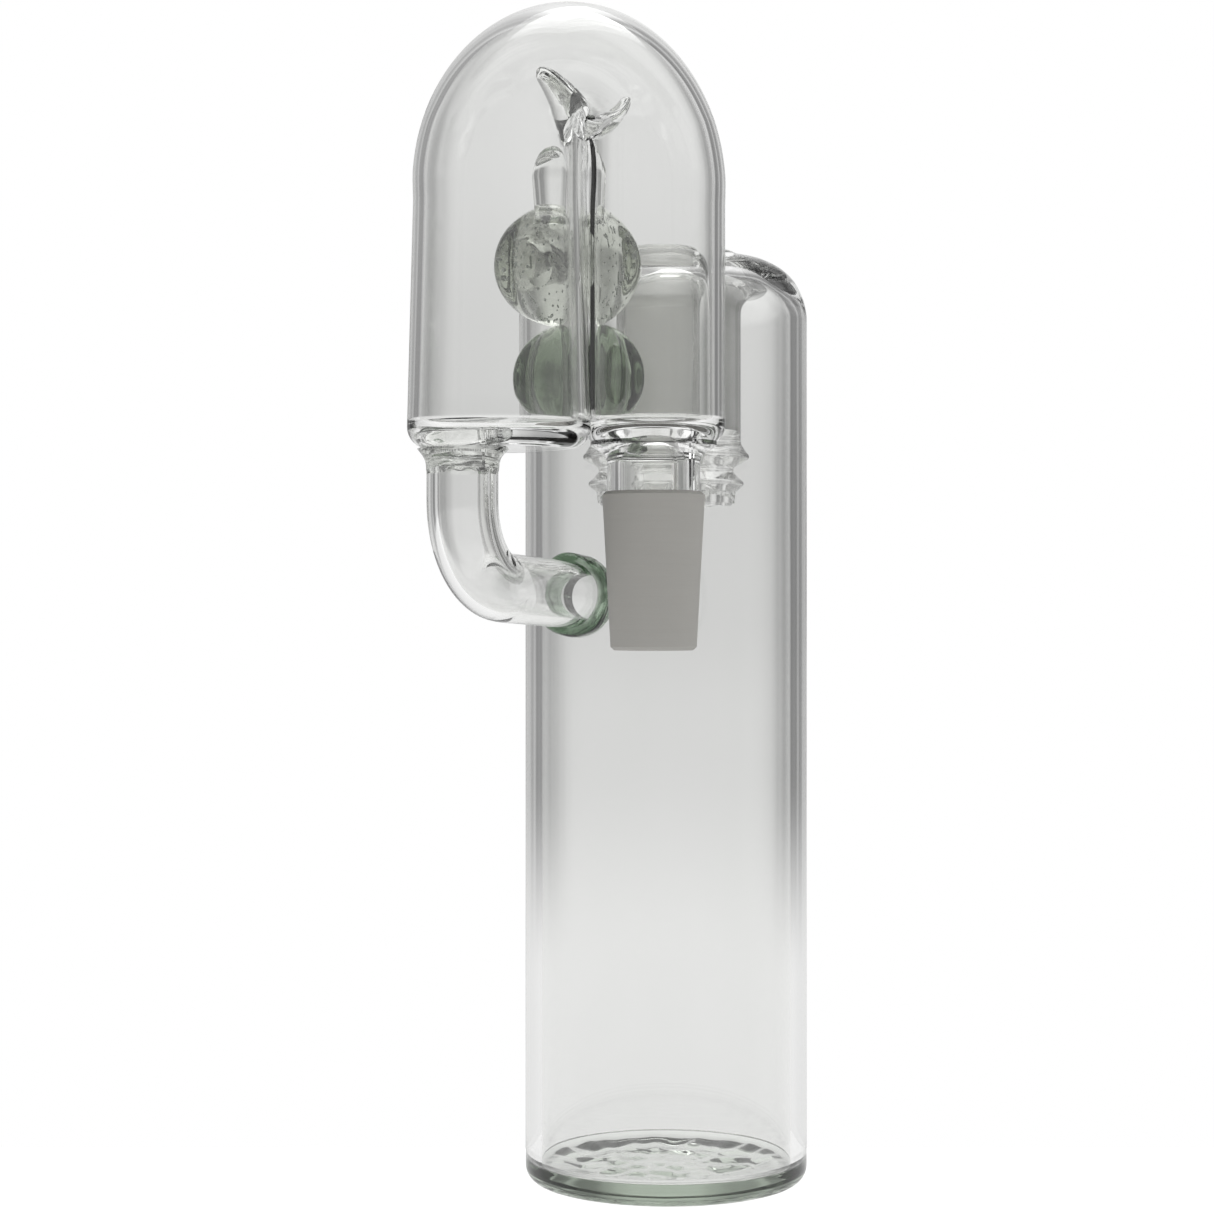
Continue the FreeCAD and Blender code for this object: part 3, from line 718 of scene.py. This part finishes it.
@dataclass
class Riser:
    """The two legs, the crown that joins them, their floors, and the seam between them."""

    shop: Workshop
    wall: float = 1.6
    flare: float = 0.85
    floor: float = 2.4
    corner: float = 3.0
    crown_shoulder: float = 14.0
    crotch_rise: float = 23.0
    inner_corner_less: float = 1.2
    neck: float = 6.55
    cone_bore: float = 4.75
    elbow_bore: float = 3.5
    neck_flare: float = 2.4
    neck_flare_height: float = 2.6

    def __post_init__(self) -> None:
        """Read the legs' axes, radii and levels from the frame."""
        low, high = node_box("left_leg_floor")
        self.left_foot = (high.y - low.y) / 2
        self.left = Vector((low.x + self.left_foot, (low.y + high.y) / 2, 0.0))
        self.left_bottom = low.z
        low, high = node_box("right_leg_floor")
        self.right_radius = (high.y - low.y) / 2
        self.right = Vector((high.x - self.right_radius, (low.y + high.y) / 2, 0.0))
        self.right_bottom = low.z
        self.left_radius = self.left_foot - self.flare
        self.u = (self.right - self.left).normalized()
        self.v = Vector((-self.u.y, self.u.x, 0.0))
        spread = (self.right - self.left).length
        self.gap = (spread - self.left_radius - self.right_radius) / 2
        self.seam = self.left + self.u * (self.left_radius + self.gap)
        self.leg_top = node_box("left_leg")[1].z
        self.crotch = node_box("chamber_tube")[1].z + self.crotch_rise
        self.crown_top = node_box("crown_bend")[1].z
        self.level = node_box("chamber_tube")[1].z + self.crown_shoulder
        self.half = spread
        self.mid = self.right_radius - self.left_radius

    def at(self, along: float, height: float, back: float = 0.0) -> Vector:
        """A point from its place along the riser's plane, its height and its depth."""
        return self.seam + self.u * along + self.v * back + upward(height)

    def outline_half(self, height: float) -> float:
        """Half the crown's width at a height."""
        lift = max(0.0, height - self.level) / (self.crown_top - self.level)
        return self.half * math.sqrt(max(0.0, 1 - lift ** 2))

    def reach(self, angle: float) -> float:
        """Distance from the crotch to the crown's outline.

        Args:
            angle: the direction in radians, from the left leg's side up and over.

        Returns:
            The distance.
        """
        c, s = math.cos(angle), math.sin(angle)
        rise, drop = self.crown_top - self.level, self.crotch - self.level
        square = c * c / self.half ** 2 + s * s / rise ** 2
        linear = c * self.mid / self.half ** 2 + s * drop / rise ** 2
        constant = self.mid ** 2 / self.half ** 2 + drop ** 2 / rise ** 2 - 1
        return (math.sqrt(linear ** 2 - square * constant) - linear) / square

    def leg_place(self, side: int, height: float, inset: float) -> Matrix:
        """A level section of a leg.

        Args:
            side: -1 for the left leg and 1 for the right one.
            height: the section's height.
            inset: how far inside the outer skin it lies.

        Returns:
            The section's transform of the unit circle.
        """
        radius = self.left_radius if side < 0 else self.right_radius
        if side < 0 and height < self.leg_top:
            share = (self.leg_top - height) / (self.leg_top - self.left_bottom - self.corner)
            radius += self.flare * min(1.0, share)
        inner = self.gap
        outer = radius * 2 + self.gap
        if height > self.leg_top:
            outer = side * self.mid + self.outline_half(height)
            ease = min(1.0, (height - self.leg_top) / 4)
            outer = (radius * 2 + self.gap) * (1 - ease) + outer * ease
        elif side < 0:
            inner = self.left_radius * 2 + self.gap - (self.left_radius + radius)
            outer = self.left_radius + self.gap + radius
        middle = side * (outer + inner) / 2
        across = (outer - inner) / 2 - inset
        return oval(self.at(middle, height), self.v * (radius - inset), self.u * -across)

    def fan_place(self, angle: float, inset: float) -> Matrix:
        """A section of the crown, in a plane through the crotch.

        Args:
            angle: the plane's direction in radians, 0 on the left and pi on the right.
            inset: how far inside the outer skin it lies.

        Returns:
            The section's transform of the unit circle.
        """
        reach = self.reach(angle)
        share = angle / math.pi
        depth = self.left_radius * (1 - share) + self.right_radius * share
        outward = self.u * -math.cos(angle) + upward(math.sin(angle))
        centre = self.at(0, self.crotch) + outward * (reach + self.gap) / 2
        return oval(centre, self.v * (depth - inset), outward * ((reach - self.gap) / 2 - inset))

    def end_places(self, side: int, bottom: float, inset: float) -> list[Matrix]:
        """Sections round the lower end of a leg, from its floor's middle to its wall.

        Args:
            side: -1 for the left leg and 1 for the right one.
            bottom: the floor's underside.
            inset: 0 for the outer skin, or the wall for the bore.

        Returns:
            The sections' transforms, from the bottom upward.
        """
        level = bottom + (self.floor if inset else 0.0)
        corner = self.corner - (self.inner_corner_less if inset else 0.0)
        full = self.leg_place(side, level + corner, inset)
        across, along = full.col[0].to_3d(), full.col[1].to_3d()
        radius = across.length
        centre = full.translation
        places = []
        for share in (0.02, 0.3, 0.6):
            keep = (radius - corner) / radius * share
            places.append(oval(Vector((centre.x, centre.y, level)), across * keep, along * keep))
        for k in range(9):
            angle = math.radians(90 * k / 8)
            keep = (radius - corner + corner * math.sin(angle)) / radius
            spot = Vector((centre.x, centre.y, level + corner * (1 - math.cos(angle))))
            places.append(oval(spot, across * keep, along * keep))
        return places

    def skin(self, inset: float) -> Shape:
        """One closed skin, up the left leg, over the crown and down the right leg.

        Args:
            inset: 0 for the outer skin, or the wall for the bore.

        Returns:
            The closed mesh.
        """
        rise = self.crotch - self.leg_top
        upper = [self.leg_top + rise * k / 8 for k in range(8)]
        sides = []
        for side, bottom in ((-1, self.left_bottom), (1, self.right_bottom)):
            ends = self.end_places(side, bottom, inset)
            low = ends[-1].translation.z
            levels = [low + (self.leg_top - low) * k / 12 for k in range(1, 12)] + upper
            sides.append(ends + [self.leg_place(side, z, inset) for z in levels])
        fan = [self.fan_place(math.pi * k / 48, inset) for k in range(49)]
        down = [self.flip(place) for place in reversed(sides[1])]
        return rod(sides[0] + fan + down, 128)

    @staticmethod
    def flip(place: Matrix) -> Matrix:
        """Turn a section over, so that it runs on from the crown's."""
        return place @ Matrix.Diagonal((1, -1, -1, 1))

    def ridge(self, ridge: Ridge) -> Shape:
        """One ridge of the fused seam, as a closed shape in the riser's plane."""
        fine = ridge.smooth()
        places = []
        for k, (along, height, width, depth) in enumerate(fine):
            before, after = fine[max(k - 1, 0)], fine[min(k + 1, len(fine) - 1)]
            lean = math.atan2(after[0] - before[0], after[1] - before[1])
            across = self.u * -math.cos(lean) + upward(math.sin(lean))
            places.append(oval(self.at(along, self.crotch + height), self.v * (depth / 2),
                               across * (width / 2)))
        return rod(places, 48)

    def cone_neck(self) -> Shape:
        """The neck under the right floor, which flares into it."""
        high = node_box("cone_joint")[1].z
        outline = [(0.0, high - LAP), (self.neck, high - LAP)]
        for k in range(9):
            share = k / 8
            outline.append((self.neck + self.neck_flare * share ** 2.4,
                            self.right_bottom - self.neck_flare_height * (1 - share)))
        outline += [(self.neck + self.neck_flare, self.right_bottom + self.floor / 2),
                    (0.0, self.right_bottom + self.floor / 2)]
        bm = lathe(outline, closed=False, steps=96)
        bmesh.ops.translate(bm, vec=self.right, verts=bm.verts)
        return bm

    @staticmethod
    def bore(axis: Vector, radius: float, low: float, high: float) -> Shape:
        """An upright round cutter between two heights."""
        return rod([oval(axis + upward(z), Vector((radius, 0, 0)), Vector((0, radius, 0)))
                    for z in (low, high)], 64)

    def build(self) -> None:
        """Make the riser as one fused piece of glass, bored through both floors."""
        piece = self.shop.place("riser", self.skin(0.0), LEGS, nodes=[
            "left_leg", "right_leg", "crown_bend", "left_leg_floor", "right_leg_floor",
            "leg_seam", "crotch_fold", "cone_neck"])
        carve(piece, self.cone_neck(), "UNION")
        carve(piece, self.skin(self.wall))
        weld = "elbow_top_weld"
        carve(piece, self.bore(node_axis(weld), self.elbow_bore, node_box(weld)[0].z,
                               self.left_bottom + self.floor + 3))
        carve(piece, self.bore(self.right, self.cone_bore, node_box("cone_joint")[1].z - 1,
                               self.right_bottom + self.floor + 3))
        for ridge in (SPINE, RIGHT_LIP):
            carve(piece, self.ridge(ridge), "UNION")
        melt_slivers(piece)


@dataclass
class Outlet:
    """The side elbow from the chamber wall up into the left leg."""

    shop: Workshop
    riser: Riser
    radius: float = 5.0
    wall: float = 1.5
    bend: float = 12.0
    slope: float = 2.8
    azimuth: float = -129.5
    drop: float = 42.8
    ring_width: float = 1.3
    ring_height: float = 2.4

    def __post_init__(self) -> None:
        """Work out the elbow's route from the frame."""
        low, high = node_box("elbow_top_weld")
        chamber_high = node_box("chamber_tube")[1]
        self.axis = node_axis("elbow_top_weld")
        self.collar_top, self.collar_radius = high.z, (high.x - low.x) / 2
        self.collar_low = low.z
        wall_point = polar(math.radians(self.azimuth), chamber_high.x)
        self.outlet = wall_point + upward(chamber_high.z - self.drop)
        run = (self.outlet - self.axis).xy.to_3d()
        self.length = run.length
        self.heading = math.atan2(run.y, run.x)
        self.fall = math.radians(self.slope)
        self.ahead = polar(self.heading, math.cos(self.fall)) - upward(math.sin(self.fall))
        self.corner = self.axis + upward(self.outlet.z + self.length * math.tan(self.fall))

    def route(self, radius: float, top: float, into: float) -> list[Matrix]:
        """Sections down the drop, round the bend and along the run.

        Args:
            radius: the tube's radius.
            top: the level that it starts at.
            into: how far it goes past the chamber's surface.

        Returns:
            The sections' transforms.
        """
        side = polar(self.heading - math.pi / 2)
        turn = math.pi / 2 - self.fall
        tangent = self.bend * math.tan(turn / 2)
        centre = self.corner + upward(tangent) + polar(self.heading, self.bend)
        places = []
        start = self.corner.z + tangent
        for z in (top, start + (top - start) * 0.5):
            places.append(oval(self.axis + upward(z), side * radius,
                               polar(self.heading, radius)))
        for k in range(25):
            angle = turn * k / 24
            out = polar(self.heading, math.cos(angle)) + upward(math.sin(angle))
            places.append(oval(centre - out * self.bend, side * radius, out * radius))
        end = self.corner + self.ahead * (self.length + into)
        places.append(oval(end, side * radius, side.cross(self.ahead) * radius))
        return places

    def build(self, wall: Piece) -> None:
        """Make the elbow and its two welds, and open the chamber's tube behind them."""
        top = self.riser.left_bottom + self.riser.floor
        bore = self.radius - self.wall
        self.shop.place("elbow_tube", tube(self.route(self.radius, top - 0.05, 0.4),
                                           self.route(bore, top - 0.05, 0.4), 64), CLEAR)
        carve(wall, rod(self.route(bore, top - 4, 6.0), 48))
        self.bead()
        self.collar()

    def bead(self) -> None:
        """The thick weld ring on the chamber's wall."""
        lip = self.ring_width
        outline = [(self.radius - LAP, -1.4), (self.radius + lip, -1.4)]
        outline += arc((self.radius, self.ring_height - lip), lip, 0, 90, 8)
        outline += [(self.radius - LAP, self.ring_height)]
        tilt = Matrix.Rotation(math.pi / 2 + self.fall, 4, "Y")
        where = (Matrix.Translation(self.outlet) @ Matrix.Rotation(self.heading, 4, "Z") @ tilt
                 @ Matrix.Rotation(math.pi, 4, "X"))
        bm = lathe(outline, closed=True, steps=72)
        ripple(bm, 3.0, 0.35, lambda at: float(at.z > 0), seed=5.0)
        self.shop.place("outlet_weld_ring", bm, WELD, where)

    def collar(self) -> None:
        """The flared weld under the left leg's floor."""
        flare = self.collar_top - self.collar_low
        extra = self.collar_radius - self.radius
        outline = [(self.radius - LAP, LAP), (self.radius - LAP, -flare)]
        outline += [(self.radius + extra * (k / 8) ** 2.2, -flare * (1 - k / 8))
                    for k in range(1, 9)]
        outline += [(self.radius + extra, LAP)]
        bm = lathe(outline, closed=True, steps=72)
        ripple(bm, 2.6, 0.3, lambda at: 1.0, seed=8.0)
        self.shop.place("elbow_top_weld", bm, THICK,
                        Matrix.Translation(self.axis + upward(self.collar_top)))


@dataclass
class Cone:
    """The ground cone below the neck."""

    shop: Workshop
    riser: Riser
    bore: float = 4.75
    large: float = 7.25
    small: float = 6.1
    edge: float = 0.5

    def build(self) -> None:
        """Make the cone."""
        place = Matrix.Translation(self.riser.right)
        low, high = node_box("cone_joint")[0].z, node_box("cone_joint")[1].z
        edge = self.edge
        cone = lathe([(self.bore + 0.2, low), (self.small - edge, low),
                      (self.small, low + edge), (self.large, high - edge),
                      (self.large - edge, high), (self.bore, high), (self.bore, low + 0.3)],
                     closed=True, steps=128)
        self.shop.place("cone_joint", cone, GROUND, place)


@dataclass
class Marbles:
    """The two flattened marbles and the small post behind the seam."""

    shop: Workshop
    riser: Riser
    bubbles: int = 230

    def ball(self, name: str, look: PolishedGlass, lobes: int, swell: float) -> None:
        """One flattened marble in its node's box.

        Args:
            name: the piece's name, which is also its node's.
            look: its finish.
            lobes: how many upright lobes go round it.
            swell: how far they swell, as a share of the radius.
        """
        low, high = node_box(name)
        bm = bmesh.new()
        bmesh.ops.create_icosphere(bm, subdivisions=6, radius=1.0)
        width, rise = (high.x - low.x) / 2, (high.z - low.z) / 2
        for vert in bm.verts:
            turn = lobes * math.atan2(vert.co.y, vert.co.x)
            keep = 1 - swell * (0.5 - 0.5 * math.cos(turn)) ** 2 * vert.co.xy.length ** 2
            vert.co = Vector((vert.co.x * keep, vert.co.y * keep, vert.co.z))
        bmesh.ops.scale(bm, vec=(width, width, rise), verts=bm.verts)
        ripple(bm, 9.0, 0.35, lambda at: 1.0, seed=rise)
        self.shop.place(name, bm, look, Matrix.Translation((low + high) / 2))

    def seeds(self) -> None:
        """Small bubbles spread through the upper marble, denser towards its rim."""
        low, high = node_box("upper_marble")
        middle = (low + high) / 2
        width, rise = (high.x - low.x) / 2, (high.z - low.z) / 2
        bm = bmesh.new()
        for k in range(self.bubbles):
            turn = k * GOLDEN_TURN
            level = 1 - 2 * (k + 0.5) / self.bubbles
            ring = math.sqrt(1 - level * level)
            depth = 0.55 + 0.35 * abs(noise.noise(Vector((k * 0.37, 1.7, 0.4)))) * 1.6
            spot = Vector((math.cos(turn) * ring * width, math.sin(turn) * ring * width,
                           level * rise)) * min(depth, 0.93)
            size = 0.14 + 0.3 * abs(noise.noise(Vector((k * 0.71, 5.1, 2.2))))
            bmesh.ops.create_icosphere(bm, subdivisions=1, radius=size,
                                       matrix=Matrix.Translation(middle + spot))
        self.shop.place("seed_bubbles", bm, SeedBubble(), nodes=[])

    def post(self) -> None:
        """The rounded post on top of the upper marble."""
        low, high = node_box("marble_tail")
        radius = (high.x - low.x) / 2
        outline = [(0.0, 0.0), (radius * 0.8, 0.0)]
        outline += arc((0.0, high.z - low.z - radius), radius, 0, 90, 14)
        bm = lathe(outline, closed=False, steps=64)
        ripple(bm, 6.0, 0.5, lambda at: 1.0, seed=2.0)
        self.shop.place("marble_tail", bm, CLEAR,
                        Matrix.Translation(node_axis("marble_tail") + upward(low.z)))

    def build(self) -> None:
        """Make both marbles, their bubbles and the post."""
        self.ball("upper_marble", MARBLE, lobes=4, swell=0.12)
        self.seeds()
        self.ball("lower_marble", LOW_MARBLE, lobes=6, swell=0.2)
        self.post()


# ----------------------------------------------------------------------------- studio
def ramp(span: float, *stops: Corner) -> list[Corner]:
    """Stops of a colour ramp whose places run from minus to plus half a span."""
    return [(place / span + 0.5, shade) for place, shade in stops]


@dataclass
class Studio:
    """A white table, a pale room with darker cards in it, soft light and the camera."""

    distance: float = 419.0
    side: float = -9.24
    height: float = 89.5
    focal: float = 79.36
    room: float = 1.06
    table: float = 0.2
    table_back: float = 0.024
    table_front: float = 0.3

    def camera(self) -> None:
        """A level camera, a little to the left of the chamber's axis."""
        lens = bpy.data.cameras.new("camera")
        lens.lens = self.focal
        lens.sensor_width = 36.0
        lens.clip_start = 0.01
        eye = add_object("camera", lens)
        eye.location = (self.side * MM, -self.distance * MM, self.height * MM)
        eye.rotation_euler = (math.pi / 2, 0, 0)
        bpy.context.scene.camera = eye

    def surroundings(self) -> None:
        """A room that is plain white to look at, and that lights the glass with soft bands."""
        world = bpy.data.worlds.new("room")
        bpy.context.scene.world = world
        world.use_nodes = True
        tree = world.node_tree
        tree.nodes.clear()
        spot = add_node(tree, "ShaderNodeTexCoord", output="Generated")
        parts = tree.nodes.new("ShaderNodeSeparateXYZ")
        tree.links.new(spot.socket, parts.inputs[0])
        x, y, z = (Sock(tree, parts.outputs[k]) for k in range(3))
        turn = x.angle(y) * (0.5 / math.pi) + 0.5
        bands = add_node(tree, "ShaderNodeValToRGB", {"stops": self.bands()}, {"Fac": turn})
        lift = add_node(tree, "ShaderNodeValToRGB", {"stops": self.lift()}, {"Fac": z * 0.5 + 0.5})
        fade = add_node(tree, "ShaderNodeMapRange", {"interpolation_type": "SMOOTHSTEP"}, {
            "Value": z, "From Min": -0.14, "From Max": -0.06})
        below = add_node(tree, "ShaderNodeValToRGB", {"stops": self.table_bands()}, {"Fac": turn})
        bands = fade * bands + (1 - fade) * below * 2.0
        seen = add_node(tree, "ShaderNodeLightPath", output="Is Camera Ray")
        strength = seen + (1 - seen) * (bands * lift * self.room)
        shine = add_node(tree, "ShaderNodeBackground", inputs={
            "Color": (1.0, 1.0, 1.0, 1.0), "Strength": strength})
        out = tree.nodes.new("ShaderNodeOutputWorld")
        tree.links.new(shine.socket, out.inputs["Surface"])

    @staticmethod
    def bands() -> list[Corner]:
        """Light and dark stretches of the room, by angle from straight behind the object."""
        return ramp(360, (-150, 0.65), (-110, 0.7), (-92, 0.85), (-80, 0.6), (-72, 0.6),
                    (-62, 0.98), (-54, 0.9), (-46, 0.3), (-36, 0.35), (-31, 0.75), (-25, 0.5),
                    (-17, 0.55), (-11, 0.75), (-7, 0.97), (0, 1.0), (9, 0.98), (13, 0.85),
                    (17, 0.62), (22, 0.34), (28, 0.3), (33, 0.65), (37, 0.3), (46, 0.22),
                    (54, 0.9), (64, 0.98), (72, 0.6), (82, 0.6), (92, 0.85), (130, 0.75),
                    (160, 0.65))

    @staticmethod
    def table_bands() -> list[Corner]:
        """Half the table's light, which is brighter to both sides of the object."""
        return ramp(360, (-90, 0.6), (-60, 0.6), (-45, 0.52), (-20, 0.49), (0, 0.5),
                    (20, 0.49), (45, 0.52), (60, 0.6), (90, 0.6))

    @staticmethod
    def lift() -> list[Corner]:
        """The room's light by height, from straight down to straight up."""
        return ramp(2, (-1.0, 0.98), (-0.3, 0.8), (-0.19, 0.76), (-0.12, 0.77), (-0.045, 0.71),
                    (0.0, 0.66), (0.05, 0.65), (0.1, 0.68), (0.17, 0.75), (0.4, 0.82),
                    (1.0, 1.0))

    def floor(self) -> None:
        """The table: plain white to look at, and as bright as the low room behind glass."""
        bm = bmesh.new()
        bmesh.ops.create_grid(bm, x_segments=1, y_segments=1, size=1.0)
        bmesh.ops.scale(bm, vec=(self.table, (self.table_back + self.table_front) / 2, 1),
                        verts=bm.verts)
        bmesh.ops.translate(bm, vec=(0, (self.table_back - self.table_front) / 2, -0.0001),
                            verts=bm.verts)
        mesh = add_mesh("table", bm)
        table = add_object("table", mesh)
        material, tree, shader, _ = new_material("table_finish")
        seen = add_node(tree, "ShaderNodeLightPath", output="Is Camera Ray")
        link(tree, shader, {"Base Color": (0.4, 0.4, 0.4, 1.0), "Roughness": 0.9,
                             "Specular IOR Level": 0.0, "Emission Color": seen * 0.4 + 0.6,
                             "Emission Strength": 1.0})
        mesh.materials.append(material)

    def lamp(self, name: str, spot: tuple[float, float, float], size: float, power: float) -> None:
        """A square soft light aimed at the middle of the object."""
        light = bpy.data.lights.new(name, "AREA")
        light.size = size
        light.energy = power
        holder = add_object(name, light)
        holder.location = spot
        aim = Vector((-0.005, -0.02, 0.09)) - Vector(spot)
        holder.rotation_euler = aim.to_track_quat("-Z", "Y").to_euler()

    def build(self) -> None:
        """Set up the camera, the room, the table and the overhead lamp."""
        self.camera()
        self.surroundings()
        self.floor()
        self.lamp("overhead", (0.1, 0.1, 0.9), 0.7, 2.0)
        scene = bpy.context.scene
        scene.view_settings.view_transform = "Standard"
        scene.cycles.max_bounces = 28
        scene.cycles.transmission_bounces = 28
        scene.cycles.glossy_bounces = 12


def main() -> None:
    """Build every sub-assembly in order, and the studio round it."""
    logging.basicConfig(level=logging.INFO)
    Studio().build()
    shop = Workshop()
    wall = Chamber(shop).build()
    riser = Riser(shop)
    riser.build()
    Outlet(shop, riser).build(wall)
    Cone(shop, riser).build()
    Marbles(shop, riser).build()


if __name__ == "__main__":
    main()
